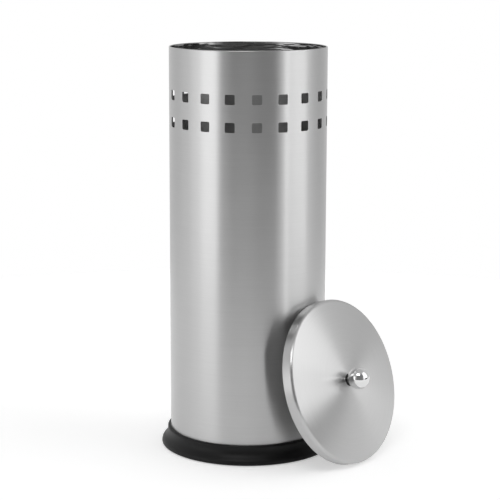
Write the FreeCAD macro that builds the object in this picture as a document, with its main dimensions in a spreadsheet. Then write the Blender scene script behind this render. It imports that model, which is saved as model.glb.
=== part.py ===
"""Lidded storage canister, as a parametric FreeCAD document.

A steel tube with two rows of square vents stands in a flared plastic foot. Its domed lid is off the
mouth: the lid's rim stands on the floor and leans on the tube. Millimetres, +Z up. The origin is on
the tube's axis, in the plane that the foot stands on. Each lid piece is drawn about the lid's own
axis, from its rim plane upwards, and is then placed in the leaning pose.
"""

import FreeCAD
import Part
import math
import os
import Sketcher

DIMENSIONS = [
    ("tube_radius", 70.0, "outside radius of the rolled tube"),
    ("tube_top", 361.0, "height of the rim above the floor"),
    ("sheet", 0.6, "thickness of the steel sheet"),
    ("hem_depth", 7.0, "depth of the hem folded into the mouth"),
    ("hem_gap", 0.1, "air left inside a closed hem"),
    ("hem_step", 0.5, "height of the hem's bevelled lower edge"),
    ("vent_side", 8.7, "side of a square vent"),
    ("vent_corner", 1.1, "corner radius of a vent"),
    ("vent_columns", 19, "vents in each row"),
    ("vent_drop", 41.2, "rim to the centre of the upper row"),
    ("vent_pitch", 23.7, "height between the two rows"),
    ("vent_turn", 6.2, "angle of the first column from the front, in degrees"),
    ("bead_width", 2.0, "width of the weld bead inside the seam"),
    ("bead_height", 0.25, "height of the weld bead"),
    ("ledge_top", 4.8, "height that the tube and pan stand at"),
    ("ledge_thickness", 2.2, "thickness of the foot's ledge"),
    ("ledge_radius", 50.0, "radius of the opening in the foot's ledge"),
    ("fit_gap", 0.05, "clearance between pushed-together parts"),
    ("pan_height", 15.0, "height of the floor pan's flange"),
    ("pan_bend", 2.0, "outside bend radius of the pan"),
    ("dish_radius", 44.0, "radius of the pan's sunk centre"),
    ("dish_slope", 2.0, "width of the slope round the sunk centre"),
    ("dish_depth", 1.2, "depth of the pan's sunk centre"),
    ("foot_radius", 78.2, "widest radius of the foot"),
    ("foot_base", 0.6, "height of the foot's plastic above the floor"),
    ("foot_edge", 1.0, "rounding of the foot's lower edge"),
    ("flare_foot", 1.9, "height where the foot starts to draw in"),
    ("flare_bulge", 5.6, "radius of the rounded lower half of the flare"),
    ("flare_middle", 6.2, "height where the flare turns from rounded to hollow"),
    ("flare_radius", 76.2, "radius of the foot where the flare turns"),
    ("flare_hollow", 9.5, "radius of the hollow upper half of the flare"),
    ("flare_top", 13.5, "height where the flare meets the collar"),
    ("collar_radius", 72.8, "outside radius of the foot's collar"),
    ("collar_top", 16.9, "height of the collar's lip"),
    ("collar_round", 1.6, "rounding of the collar's lip"),
    ("grip_inner", 71.7, "inside radius of the grip ring"),
    ("grip_outer", 76.1, "outside radius of the grip ring"),
    ("grip_height", 4.3, "height of the grip ring"),
    ("grip_round", 0.5, "rounding of the grip ring's lower edges"),
    ("channel_gap", 0.1, "clearance round the grip ring"),
    ("skirt_wall", 1.2, "wall of the foot inside the grip ring"),
    ("screw_circle", 60.0, "radius of the circle of foot screws"),
    ("screw_count", 4, "foot screws"),
    ("screw_radius", 2.0, "shank radius of every screw"),
    ("hole_play", 0.2, "clearance of a screw in its hole"),
    ("cone_radius", 3.8, "head radius of a foot screw"),
    ("cone_depth", 1.8, "head height of a foot screw"),
    ("foot_screw_length", 6.0, "length of a foot screw"),
    ("nut_flats", 7.0, "width of a nut across its flats"),
    ("nut_height", 3.2, "height of a nut"),
    ("lid_radius", 72.8, "outside radius of the lid's skirt"),
    ("lid_edge", 10.2, "height of the lid's shoulder before rounding"),
    ("lid_crown", 14.9, "height of the lid's crown"),
    ("lid_shoulder", 3.2, "outside rounding of the lid's shoulder"),
    ("lid_hem", 5.0, "depth of the hem folded into the skirt"),
    ("seat_radius", 7.0, "radius of the flat that the knob stands on"),
    ("gasket_radius", 5.4, "outside radius of the knob's gasket"),
    ("gasket_height", 0.4, "thickness of the knob's gasket"),
    ("neck_radius", 4.4, "radius of the knob's neck"),
    ("ball_radius", 9.6, "radius of the knob's ball"),
    ("ball_rise", 10.0, "gasket to the centre of the ball"),
    ("knob_bore", 9.0, "depth of the tapped hole in the knob"),
    ("washer_radius", 6.0, "outside radius of the washer"),
    ("washer_height", 0.8, "thickness of the washer"),
    ("head_radius", 3.8, "head radius of the knob screw"),
    ("head_height", 2.6, "head height of the knob screw"),
    ("head_round", 1.0, "rounding of the knob screw's head"),
    ("screw_reach", 6.5, "length of the knob screw inside the knob"),
    ("slot_width", 0.9, "width of a cross recess"),
    ("slot_length", 3.6, "length of a cross recess"),
    ("slot_depth", 1.1, "depth of a cross recess"),
    ("lean_angle", 18.0, "tilt of the leaning lid from upright, in degrees"),
    ("lean_turn", 38.8, "direction that the lid faces, from +X towards the front, in degrees"),
    ("lean_slip", 10.2, "how far the lid has slipped sideways along the tube"),
]

CUT_MARGIN = 4.0


class Size(float):
    """A number that carries the spreadsheet formula it was worked out from."""

    def __new__(cls, value, formula):
        size = super().__new__(cls, value)
        size.formula = formula
        return size

    def __add__(self, other):
        return Size(float(self) + float(other), f"({self.formula} + {formula(other)})")

    def __sub__(self, other):
        return Size(float(self) - float(other), f"({self.formula} - {formula(other)})")

    def __mul__(self, other):
        return Size(float(self) * float(other), f"({self.formula} * {formula(other)})")

    def __truediv__(self, other):
        return Size(float(self) / float(other), f"({self.formula} / {formula(other)})")

    def __neg__(self):
        return Size(-float(self), f"(-1 * {self.formula})")


def root(number):
    """The square root of a Size."""
    return Size(math.sqrt(number), f"sqrt({formula(number)})")


def formula(number):
    """The formula of a Size, or a plain number as text."""
    return number.formula if isinstance(number, Size) else repr(float(number))


class Sizes:
    """The driving dimensions by name, read from the document's spreadsheet."""

    def __init__(self, sheet):
        for name, _, _ in DIMENSIONS:
            setattr(self, name, Size(sheet.get(name), f"Dims.{name}"))


def make_sheet(doc):
    """Writes the driving dimensions into a spreadsheet, one aliased cell each."""
    sheet = doc.addObject("Spreadsheet::Sheet", "Dims")
    for row, (name, value, meaning) in enumerate(DIMENSIONS, start=1):
        sheet.set(f"A{row}", name)
        sheet.set(f"B{row}", str(value))
        sheet.set(f"C{row}", meaning)
        sheet.setAlias(f"B{row}", name)
    doc.recompute()
    return sheet


def make_body(doc, label):
    """An empty body for one piece, labelled with the piece's name."""
    body = doc.addObject("PartDesign::Body", label)
    body.Label = label
    body.AllowCompound = True
    return body


def origin_plane(body, role):
    """One of a body's own origin planes, such as XZ_Plane."""
    return next(f for f in body.Origin.OriginFeatures if f.Role == role)


def make_sketch(body, name, role="XZ_Plane", height=None):
    """A sketch on one of the body's planes, lifted off it by a height if one is given."""
    sketch = body.newObject("Sketcher::SketchObject", name)
    sketch.AttachmentSupport = (origin_plane(body, role), [""])
    sketch.MapMode = "FlatFace"
    if height is not None:
        sketch.setExpression("AttachmentOffset.Base.z", formula(height))
    return sketch


def bind(sketch, kind, where, size, name):
    """Adds a dimension to a sketch and ties it to its formula."""
    index = sketch.addConstraint(Sketcher.Constraint(kind, *where, float(size)))
    sketch.renameConstraint(index, name)
    if isinstance(size, Size):
        sketch.setExpression(f"Constraints.{name}", size.formula)


def arc_through(start, end, radius):
    """The shorter arc between two points; it turns left if the radius is positive."""
    chord = end - start
    half = chord.Length / 2
    height = math.sqrt(max(float(radius) ** 2 - half**2, 0.0))
    left = FreeCAD.Vector(-chord.y, chord.x, 0).normalize()
    side = math.copysign(1.0, radius)
    centre = start + chord * 0.5 + left * (side * height)
    middle = centre - left * (side * abs(radius))
    return Part.Arc(start, middle, end)


def draw_outline(sketch, steps, prefix="p"):
    """Draws one closed outline. A step is (x, y), reached by a line, or (x, y, radius), reached by an arc."""
    points = [FreeCAD.Vector(float(s[0]), float(s[1]), 0) for s in steps]
    first = sketch.GeometryCount
    count = len(steps)
    for i, step in enumerate(steps):
        start, end = points[i - 1], points[i]
        if len(step) == 3:
            sketch.addGeometry(arc_through(start, end, step[2]), False)
        else:
            sketch.addGeometry(Part.LineSegment(start, end), False)
    ends = []
    for i, step in enumerate(steps):
        # an arc that turns right is stored end first, because every sketch arc runs anticlockwise
        clockwise = len(step) == 3 and step[2] < 0
        ends.append((2, 1) if clockwise else (1, 2))
    for i, step in enumerate(steps):
        edge, after = first + i, first + (i + 1) % count
        end, next_start = ends[i][1], ends[(i + 1) % count][0]
        sketch.addConstraint(Sketcher.Constraint("Coincident", edge, end, after, next_start))
        bind(sketch, "DistanceX", (-1, 1, edge, end), step[0], f"{prefix}{i}_x")
        bind(sketch, "DistanceY", (-1, 1, edge, end), step[1], f"{prefix}{i}_y")
        if len(step) == 3:
            radius = step[2] if step[2] > 0 else -step[2]
            bind(sketch, "Radius", (edge,), radius, f"{prefix}{i}_r")


def draw_circle(sketch, across, radius):
    """Draws a circle whose centre is on the sketch's X axis."""
    centre = FreeCAD.Vector(float(across), 0, 0)
    index = sketch.addGeometry(Part.Circle(centre, FreeCAD.Vector(0, 0, 1), float(radius)), False)
    bind(sketch, "DistanceX", (-1, 1, index, 3), across, "centre_x")
    bind(sketch, "DistanceY", (-1, 1, index, 3), 0, "centre_y")
    bind(sketch, "Radius", (index,), radius, "circle_r")


def revolve(body, name, steps):
    """Turns an outline of (radius, height) steps once round the body's Z axis."""
    sketch = make_sketch(body, name + "_outline")
    draw_outline(sketch, steps)
    turned = body.newObject("PartDesign::Revolution", name)
    turned.Profile = sketch
    turned.ReferenceAxis = (sketch, ["V_Axis"])
    turned.Angle = 360
    body.Document.recompute()
    return turned


def cut(body, sketch, name, length, reverse=False):
    """Cuts a sketch into the body by a length, and checks that something was removed."""
    before = body.Shape.Volume
    pocket = body.newObject("PartDesign::Pocket", name)
    pocket.Profile = sketch
    pocket.setExpression("Length", formula(length))
    pocket.Reversed = reverse
    body.Document.recompute()
    if body.Shape.Volume > before - 1e-3:
        raise RuntimeError(f"{body.Label}: {name} cuts nothing")
    return pocket


def polar(body, name, features, count):
    """Repeats features evenly round the body's Z axis."""
    pattern = body.newObject("PartDesign::PolarPattern", name)
    pattern.Originals = features
    pattern.Axis = (next(f for f in body.Origin.OriginFeatures if f.Role == "Z_Axis"), [""])
    pattern.Angle = 360
    pattern.setExpression("Occurrences", formula(count))
    body.Tip = pattern
    body.Document.recompute()
    return pattern


def round_edge(body, name, radius_at, height_at, rounding):
    """Rounds the circular edge found at a radius and height."""
    base = body.Tip
    found = []
    for number, edge in enumerate(base.Shape.Edges, start=1):
        box = edge.BoundBox
        wide = abs(box.XMax - float(radius_at)) < 1e-3
        level = max(abs(box.ZMax - float(height_at)), abs(box.ZMin - float(height_at))) < 1e-3
        if wide and level:
            found.append(f"Edge{number}")
    if not found:
        raise RuntimeError(f"{body.Label}: {name} finds no edge")
    fillet = body.newObject("PartDesign::Fillet", name)
    fillet.Base = (base, found)
    fillet.setExpression("Radius", formula(rounding))
    body.Document.recompute()
    return fillet


def rounded_square(up, side, corner):
    """Steps round a square with rounded corners, anticlockwise, about a height on the Y axis."""
    half = side / 2
    flat = half - corner
    return [
        (half, up + flat),
        (flat, up + half, corner),
        (-flat, up + half),
        (-half, up + flat, corner),
        (-half, up - flat),
        (-flat, up - half, corner),
        (flat, up - half),
        (half, up - flat, corner),
    ]


def cross_recess(body, across, under, d):
    """Cuts a cross recess upwards into the underside of a screw head."""
    wide = d.slot_width / 2
    long = d.slot_length / 2
    quarter = [(long, wide), (wide, wide), (wide, long)]
    corners = quarter + [(-x, y) for x, y in reversed(quarter)]
    corners += [(-x, -y) for x, y in quarter] + [(x, -y) for x, y in reversed(quarter)]
    sketch = make_sketch(body, "recess_outline", "XY_Plane", under)
    draw_outline(sketch, [(x + across, y) for x, y in corners])
    return cut(body, sketch, "recess", d.slot_depth, True)


def make_tube(doc, d):
    """The rolled tube: hemmed mouth, two rows of vents and the weld bead inside its seam."""
    body = make_body(doc, "body_tube")
    half = d.sheet + d.hem_gap / 2
    inner = d.tube_radius - d.sheet
    hem_low = d.tube_top - d.hem_depth
    revolve(
        body,
        "wall",
        [
            (d.tube_radius, d.ledge_top),
            (d.tube_radius, d.tube_top - half),
            (d.tube_radius - half, d.tube_top, half),
            (d.tube_radius - half * 2, d.tube_top - half, half),
            (d.tube_radius - half * 2, hem_low),
            (inner, hem_low - d.hem_step),
            (inner, d.ledge_top),
        ],
    )
    vents = make_sketch(body, "vent_outlines")
    upper = d.tube_top - d.vent_drop
    draw_outline(vents, rounded_square(upper, d.vent_side, d.vent_corner), "upper")
    draw_outline(vents, rounded_square(upper - d.vent_pitch, d.vent_side, d.vent_corner), "lower")
    column = cut(body, vents, "vent_column", d.tube_radius + CUT_MARGIN, True)
    polar(body, "vent_columns", [column], d.vent_columns)
    bead = make_sketch(body, "bead_outline", "XY_Plane", d.ledge_top + d.pan_height * 2)
    edge = d.bead_width / 2
    draw_outline(
        bead,
        [
            (edge, inner - d.bead_height),
            (edge * 1.5, inner + d.sheet / 2),
            (-edge * 1.5, inner + d.sheet / 2),
            (-edge, inner - d.bead_height),
        ],
    )
    pad = body.newObject("PartDesign::Pad", "seam_bead")
    pad.Profile = bead
    pad.setExpression("Length", formula(hem_low - d.hem_step - d.ledge_top - d.pan_height * 2))
    doc.recompute()
    body.Placement.Rotation = FreeCAD.Rotation(FreeCAD.Vector(0, 0, 1), float(d.vent_turn))
    return body


def make_pan(doc, d):
    """The floor pan: a tray with an upturned flange and a sunk centre, drilled for the foot screws."""
    body = make_body(doc, "floor_pan")
    outer = d.tube_radius - d.sheet - d.fit_gap
    inner = outer - d.sheet
    low = d.ledge_top
    top = low + d.sheet
    bend_in = d.pan_bend - d.sheet
    rim = low + d.pan_height
    dish_edge = d.dish_radius + d.dish_slope
    revolve(
        body,
        "tray",
        [
            (0, low - d.dish_depth),
            (d.dish_radius, low - d.dish_depth),
            (dish_edge, low),
            (outer - d.pan_bend, low),
            (outer, low + d.pan_bend, d.pan_bend),
            (outer, rim),
            (inner, rim),
            (inner, low + d.pan_bend),
            (outer - d.pan_bend, top, -bend_in),
            (dish_edge, top),
            (d.dish_radius, top - d.dish_depth),
            (0, top - d.dish_depth),
        ],
    )
    drill(body, d, low - CUT_MARGIN, d.screw_radius + d.hole_play)
    return body


def drill(body, d, start, radius):
    """Drills the ring of foot-screw holes upwards from a height."""
    sketch = make_sketch(body, "screw_hole_outline", "XY_Plane", start)
    draw_circle(sketch, d.screw_circle, radius)
    hole = cut(body, sketch, "screw_hole", CUT_MARGIN * 3, True)
    polar(body, "screw_holes", [hole], d.screw_count)


def make_foot(doc, d):
    """The flared plastic foot: collar round the tube, ledge under it and a channel for the grip ring."""
    body = make_body(doc, "foot_ring")
    bore = d.tube_radius + d.fit_gap
    under = d.ledge_top - d.ledge_thickness
    channel_in = d.grip_inner - d.channel_gap
    channel_out = d.grip_outer + d.channel_gap
    channel_top = d.grip_height + d.channel_gap
    lip = d.collar_top - d.collar_round
    revolve(
        body,
        "ring",
        [
            (channel_out, d.foot_base),
            (d.foot_radius - d.foot_edge, d.foot_base),
            (d.foot_radius, d.foot_base + d.foot_edge, d.foot_edge),
            (d.foot_radius, d.flare_foot),
            (d.flare_radius, d.flare_middle, d.flare_bulge),
            (d.collar_radius, d.flare_top, -d.flare_hollow),
            (d.collar_radius, lip),
            (d.collar_radius - d.collar_round, d.collar_top, d.collar_round),
            (bore, d.collar_top),
            (bore, d.ledge_top),
            (d.ledge_radius, d.ledge_top),
            (d.ledge_radius, under),
            (channel_in - d.skirt_wall, under),
            (channel_in - d.skirt_wall, d.foot_base),
            (channel_in, d.foot_base),
            (channel_in, channel_top),
            (channel_out, channel_top),
        ],
    )
    drill(body, d, under - CUT_MARGIN, d.screw_radius + d.hole_play)
    polar(body, "countersinks", [countersink(body, d, under)], d.screw_count)
    return body


def countersink(body, d, under):
    """One countersink in the underside of the foot's ledge, as a groove round the screw's axis."""
    sketch = make_sketch(body, "countersink_outline")
    shank = d.screw_radius + d.hole_play
    head = d.cone_radius + d.hole_play
    draw_outline(
        sketch,
        [
            (d.screw_circle, under),
            (d.screw_circle + head, under),
            (d.screw_circle + shank, under + d.cone_depth),
            (d.screw_circle, under + d.cone_depth),
        ],
    )
    groove = body.newObject("PartDesign::Groove", "countersink")
    groove.Profile = sketch
    groove.ReferenceAxis = (sketch, ["Edge1"])
    groove.Angle = 360
    before = body.Shape.Volume
    body.Document.recompute()
    if body.Shape.Volume > before - 1e-3:
        raise RuntimeError(f"{body.Label}: countersink cuts nothing")
    return groove


def make_grip(doc, d):
    """The rubber ring that the canister stands on."""
    body = make_body(doc, "grip_ring")
    curve = d.grip_round
    revolve(
        body,
        "ring",
        [
            (d.grip_outer - curve, 0),
            (d.grip_outer, curve, curve),
            (d.grip_outer, d.grip_height),
            (d.grip_inner, d.grip_height),
            (d.grip_inner, curve),
            (d.grip_inner + curve, 0, curve),
        ],
    )
    return body


def make_foot_screws(doc, d):
    """Countersunk machine screws that go up through the ledge and the pan."""
    body = make_body(doc, "foot_screws")
    under = d.ledge_top - d.ledge_thickness
    tip = under + d.foot_screw_length
    sketch = make_sketch(body, "screw_outline")
    draw_outline(
        sketch,
        [
            (d.screw_circle, under),
            (d.screw_circle + d.cone_radius, under),
            (d.screw_circle + d.screw_radius, under + d.cone_depth),
            (d.screw_circle + d.screw_radius, tip - d.hole_play),
            (d.screw_circle + d.screw_radius - d.hole_play, tip),
            (d.screw_circle, tip),
        ],
    )
    screw = body.newObject("PartDesign::Revolution", "screw")
    screw.Profile = sketch
    screw.ReferenceAxis = (sketch, ["Edge1"])
    screw.Angle = 360
    doc.recompute()
    recess = cross_recess(body, d.screw_circle, under, d)
    polar(body, "screws", [screw, recess], d.screw_count)
    return body


def make_foot_nuts(doc, d):
    """Hexagon nuts on the pan's floor, one on each foot screw."""
    body = make_body(doc, "foot_nuts")
    sketch = make_sketch(body, "hexagon", "XY_Plane", d.ledge_top + d.sheet)
    corner = d.nut_flats / math.sqrt(3)
    flat = d.nut_flats / 2
    draw_outline(
        sketch,
        [
            (d.screw_circle + corner, 0),
            (d.screw_circle + corner / 2, flat),
            (d.screw_circle - corner / 2, flat),
            (d.screw_circle - corner, 0),
            (d.screw_circle - corner / 2, -flat),
            (d.screw_circle + corner / 2, -flat),
        ],
    )
    draw_circle(sketch, d.screw_circle, d.screw_radius + d.fit_gap)
    nut = body.newObject("PartDesign::Pad", "nut")
    nut.Profile = sketch
    nut.setExpression("Length", formula(d.nut_height))
    doc.recompute()
    polar(body, "nuts", [nut], d.screw_count)
    return body


def make_lid_shell(doc, d):
    """The lid: a shallow dome with a hemmed skirt and a flat seat for the knob."""
    body = make_body(doc, "lid_shell")
    half = d.sheet + d.hem_gap / 2
    hole = d.screw_radius + d.hole_play
    rise = d.lid_crown - d.lid_edge
    inner = d.lid_radius - d.sheet
    # both faces of the dome are arcs that drop by the same rise from the seat to the skirt
    span_out = d.lid_radius - d.seat_radius
    span_in = inner - d.seat_radius
    dome_out = (span_out * span_out + rise * rise) / (rise * 2)
    dome_in = (span_in * span_in + rise * rise) / (rise * 2)
    revolve(
        body,
        "shell",
        [
            (hole, d.lid_crown),
            (hole, d.lid_crown - d.sheet),
            (d.seat_radius, d.lid_crown - d.sheet),
            (inner, d.lid_edge - d.sheet, -dome_in),
            (inner, d.lid_hem + d.hem_step),
            (d.lid_radius - half * 2, d.lid_hem),
            (d.lid_radius - half * 2, half),
            (d.lid_radius - half, 0, half),
            (d.lid_radius, half, half),
            (d.lid_radius, d.lid_edge),
            (d.seat_radius, d.lid_crown, dome_out),
        ],
    )
    round_edge(body, "shoulder", d.lid_radius, d.lid_edge, d.lid_shoulder)
    round_edge(body, "shoulder_inside", inner, d.lid_edge - d.sheet, d.lid_shoulder - d.sheet)
    return body


def make_knob(doc, d):
    """The ball knob: neck, ball and tapped hole."""
    body = make_body(doc, "lid_knob")
    base = d.lid_crown + d.gasket_height
    centre = base + d.ball_rise
    bore = d.screw_radius + d.fit_gap
    neck_top = centre - root(d.ball_radius * d.ball_radius - d.neck_radius * d.neck_radius)
    revolve(
        body,
        "ball",
        [
            (bore, base),
            (d.neck_radius, base),
            (d.neck_radius, neck_top),
            (d.ball_radius, centre, d.ball_radius),
            (0, centre + d.ball_radius, d.ball_radius),
            (0, base + d.knob_bore),
            (bore, base + d.knob_bore - bore),
        ],
    )
    return body


def make_washer(doc, label, low, height, radius, hole):
    """A flat ring on the lid's axis."""
    body = make_body(doc, label)
    revolve(
        body,
        "disc",
        [
            (hole, low),
            (radius, low),
            (radius, low + height),
            (hole, low + height),
        ],
    )
    return body


def make_knob_screw(doc, d):
    """The screw that holds the knob from inside the lid."""
    body = make_body(doc, "knob_screw")
    seat = d.lid_crown - d.sheet - d.washer_height
    tip = d.lid_crown + d.gasket_height + d.screw_reach
    revolve(
        body,
        "screw",
        [
            (0, seat - d.head_height),
            (d.head_radius - d.head_round, seat - d.head_height),
            (d.head_radius, seat - d.head_height + d.head_round, d.head_round),
            (d.head_radius, seat),
            (d.screw_radius, seat),
            (d.screw_radius, tip - d.hole_play),
            (d.screw_radius - d.hole_play, tip),
            (0, tip),
        ],
    )
    cross_recess(body, 0, seat - d.head_height, d)
    return body


def leaning_placement(d):
    """Where the lid's axis and rim plane stand when it leans on the tube with its rim on the floor."""
    tilt = math.radians(d.lean_angle)
    turn = math.radians(d.lean_turn)
    outward = FreeCAD.Vector(math.cos(turn), -math.sin(turn), 0)
    along = FreeCAD.Vector(math.sin(turn), math.cos(turn), 0)
    edge = d.sheet + d.hem_gap / 2
    # the rim's top just meets the upright plane that touches the tube; its curve keeps it 0.3 mm clear
    reach = d.tube_radius + d.lid_radius * math.sin(tilt)
    lift = (d.lid_radius - edge) * math.cos(tilt) - edge * math.sin(tilt) + edge
    centre = outward * float(reach) + along * float(d.lean_slip) + FreeCAD.Vector(0, 0, float(lift))
    faces = outward * math.cos(tilt) + FreeCAD.Vector(0, 0, math.sin(tilt))
    return FreeCAD.Placement(centre, FreeCAD.Rotation(along, faces.cross(along), faces, "ZXY"))


def check(doc, pieces):
    """Stops the build if any object failed, or a piece isn't a sound set of solids."""
    for thing in doc.Objects:
        if "Invalid" in thing.State or "Error" in thing.State:
            raise RuntimeError(f"{thing.Name} failed: {thing.State}")
    for piece in pieces:
        shape = piece.Shape
        if shape.isNull() or not shape.isValid() or not shape.Solids:
            raise RuntimeError(f"{piece.Label} has no valid shape")
        if any(solid.Volume <= 0 for solid in shape.Solids):
            raise RuntimeError(f"{piece.Label} has an empty solid")


def main():
    doc = FreeCAD.newDocument("Canister")
    d = Sizes(make_sheet(doc))
    canister = [
        make_tube(doc, d),
        make_pan(doc, d),
        make_foot(doc, d),
        make_grip(doc, d),
        make_foot_screws(doc, d),
        make_foot_nuts(doc, d),
    ]
    gasket_hole = d.screw_radius + d.hole_play
    under_dome = d.lid_crown - d.sheet - d.washer_height
    lid = [
        make_lid_shell(doc, d),
        make_knob(doc, d),
        make_washer(doc, "knob_gasket", d.lid_crown, d.gasket_height, d.gasket_radius, gasket_hole),
        make_washer(doc, "knob_washer", under_dome, d.washer_height, d.washer_radius, gasket_hole),
        make_knob_screw(doc, d),
    ]
    for piece in lid:
        piece.Placement = leaning_placement(d)
    doc.recompute()
    check(doc, canister + lid)
    os.makedirs("parts", exist_ok=True)
    for piece in canister + lid:
        piece.Shape.exportStep(f"parts/{piece.Label}.step")
        solids = len(piece.Shape.Solids)
        print(f"{piece.Label}: {solids} solid(s), {piece.Shape.Volume / 1000:.2f} cm3")


main()
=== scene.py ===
"""Finished looks for a lidded steel canister: fine meshes and brushed finishes round the CAD frame.

It is laid out as an add-on. Metres, +Z up, the tube's axis at the origin and its front towards -Y.
"""

import math
from typing import NamedTuple

import bmesh
import bpy
from mathutils import Matrix, Vector


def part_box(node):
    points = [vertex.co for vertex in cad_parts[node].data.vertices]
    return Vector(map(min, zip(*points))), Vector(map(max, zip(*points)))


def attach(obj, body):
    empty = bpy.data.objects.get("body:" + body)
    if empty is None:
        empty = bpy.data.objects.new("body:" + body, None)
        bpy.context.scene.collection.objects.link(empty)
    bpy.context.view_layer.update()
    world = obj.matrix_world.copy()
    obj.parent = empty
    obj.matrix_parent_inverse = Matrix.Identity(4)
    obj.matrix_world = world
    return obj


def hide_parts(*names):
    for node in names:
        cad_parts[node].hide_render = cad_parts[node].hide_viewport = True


bl_info = {
    "name": "Lidded Canister",
    "version": (1, 0, 0),
    "blender": (4, 5, 0),
    "location": "3D View > Sidebar > Canister",
    "description": "Builds the finished pieces of a brushed steel canister and its studio",
    "category": "Object",
}

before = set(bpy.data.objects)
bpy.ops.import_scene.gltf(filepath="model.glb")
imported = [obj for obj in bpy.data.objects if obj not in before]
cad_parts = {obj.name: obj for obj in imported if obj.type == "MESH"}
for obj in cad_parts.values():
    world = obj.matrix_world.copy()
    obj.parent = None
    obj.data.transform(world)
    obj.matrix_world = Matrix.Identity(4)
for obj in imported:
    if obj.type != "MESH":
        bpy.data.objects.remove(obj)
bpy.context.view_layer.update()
MM = 0.001
CANISTER = "canister"
LID = "lid"
OUTSIDE, INSIDE, CUT_EDGE, FOLD = range(4)
UV_NAME = "UVMap"
UV_RISE = 2.0  # how far the wrapped UV climbs in a metre
ON_AXIS = 1e-6  # a point closer to Z than this is on it


def half_width(node):
    """Half the width of a CAD node's box, to the nearest hundredth of a millimetre."""
    low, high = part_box(node)
    return round((high.x - low.x) / 2, 5)


def top_of(node):
    """Height of a CAD node's highest point, to the nearest hundredth of a millimetre."""
    return round(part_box(node)[1].z, 5)


def foot_of(node):
    """Height of a CAD node's lowest point, to the nearest hundredth of a millimetre."""
    return round(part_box(node)[0].z, 5)


def length(name, default, description):
    """A length property in metres."""
    return bpy.props.FloatProperty(
        name=name, description=description, default=default, min=0.0, precision=5, unit="LENGTH"
    )


def angle(name, degrees, description):
    """An angle property."""
    return bpy.props.FloatProperty(
        name=name, description=description, default=math.radians(degrees), subtype="ANGLE"
    )


def share(name, default, description):
    """A factor property between nought and one."""
    return bpy.props.FloatProperty(
        name=name, description=description, default=default, min=0.0, max=1.0, subtype="FACTOR"
    )


def colour(name, default, description):
    """A linear colour property."""
    return bpy.props.FloatVectorProperty(
        name=name, description=description, default=default, size=3, min=0.0, max=1.0, subtype="COLOR"
    )


class TubeSizes(bpy.types.PropertyGroup):
    """Sizes of the rolled tube."""

    radius: length("Radius", half_width("body_tube"), "Outside radius of the tube")
    top: length("Rim height", top_of("body_tube"), "Height of the rim above the floor")
    foot: length("Lower edge", foot_of("body_tube"), "Height of the tube's lower edge")
    sheet: length("Sheet", 0.6 * MM, "Thickness of the steel sheet")
    hem_gap: length("Hem gap", 0.1 * MM, "Air inside the closed hem")
    hem_depth: length("Hem depth", 7.0 * MM, "Depth of the hem folded into the mouth")
    hem_bevel: length("Hem bevel", 0.5 * MM, "Height of the hem's bevelled lower edge")
    vent_side: length("Vent side", 8.7 * MM, "Side of a square vent")
    vent_corner: length("Vent corner", 1.1 * MM, "Corner radius of a vent")
    vent_drop: length("Vent drop", 41.2 * MM, "Rim to the centre of the upper row")
    vent_pitch: length("Row pitch", 23.7 * MM, "Height between the two rows of vents")
    vent_turn: angle("Vent turn", 6.2, "Angle of the first column from the front")
    vent_bevel: length("Vent bevel", 0.12 * MM, "Rounding of a vent's punched edge")
    vent_columns: bpy.props.IntProperty(name="Columns", description="Vents in a row", default=19, min=3)
    bead_width: length("Bead width", 2.0 * MM, "Width of the weld bead inside the seam")
    bead_height: length("Bead height", 0.25 * MM, "Height of the weld bead inside the seam")
    line_width: length("Seam line", 0.7 * MM, "Width of the ground weld line outside the seam")
    line_height: length("Seam rise", 0.03 * MM, "Height of the ground weld line")


class LidSizes(bpy.types.PropertyGroup):
    """Sizes and place of the lid."""

    radius: length("Radius", 72.8 * MM, "Outside radius of the skirt")
    edge: length("Shoulder height", 10.2 * MM, "Height of the shoulder before rounding")
    crown: length("Crown height", 14.9 * MM, "Height of the lid's crown")
    shoulder: length("Shoulder rounding", 3.2 * MM, "Outside rounding of the shoulder")
    hem_depth: length("Hem depth", 5.0 * MM, "Depth of the hem folded into the skirt")
    seat: length("Knob seat", 7.0 * MM, "Radius of the flat that the knob stands on")
    hole: length("Knob hole", 2.2 * MM, "Radius of the hole for the knob's screw")
    gasket: length("Gasket", 0.4 * MM, "Thickness of the knob's gasket")
    neck: length("Neck radius", 4.4 * MM, "Radius of the knob's neck")
    ball: length("Ball radius", 9.6 * MM, "Radius of the knob's ball")
    ball_rise: length("Ball rise", 10.0 * MM, "Gasket to the centre of the ball")
    bore: length("Knob bore", 2.05 * MM, "Radius of the tapped hole in the knob")
    bore_depth: length("Bore depth", 9.0 * MM, "Depth of the tapped hole in the knob")
    lean: angle("Lean", 18.0, "Tilt of the leaning lid from upright")
    turn: angle("Turn", 38.8, "Direction that the lid faces, from +X towards the front")
    slip: length("Slip", 10.2 * MM, "How far the lid has slipped sideways along the tube")


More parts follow.
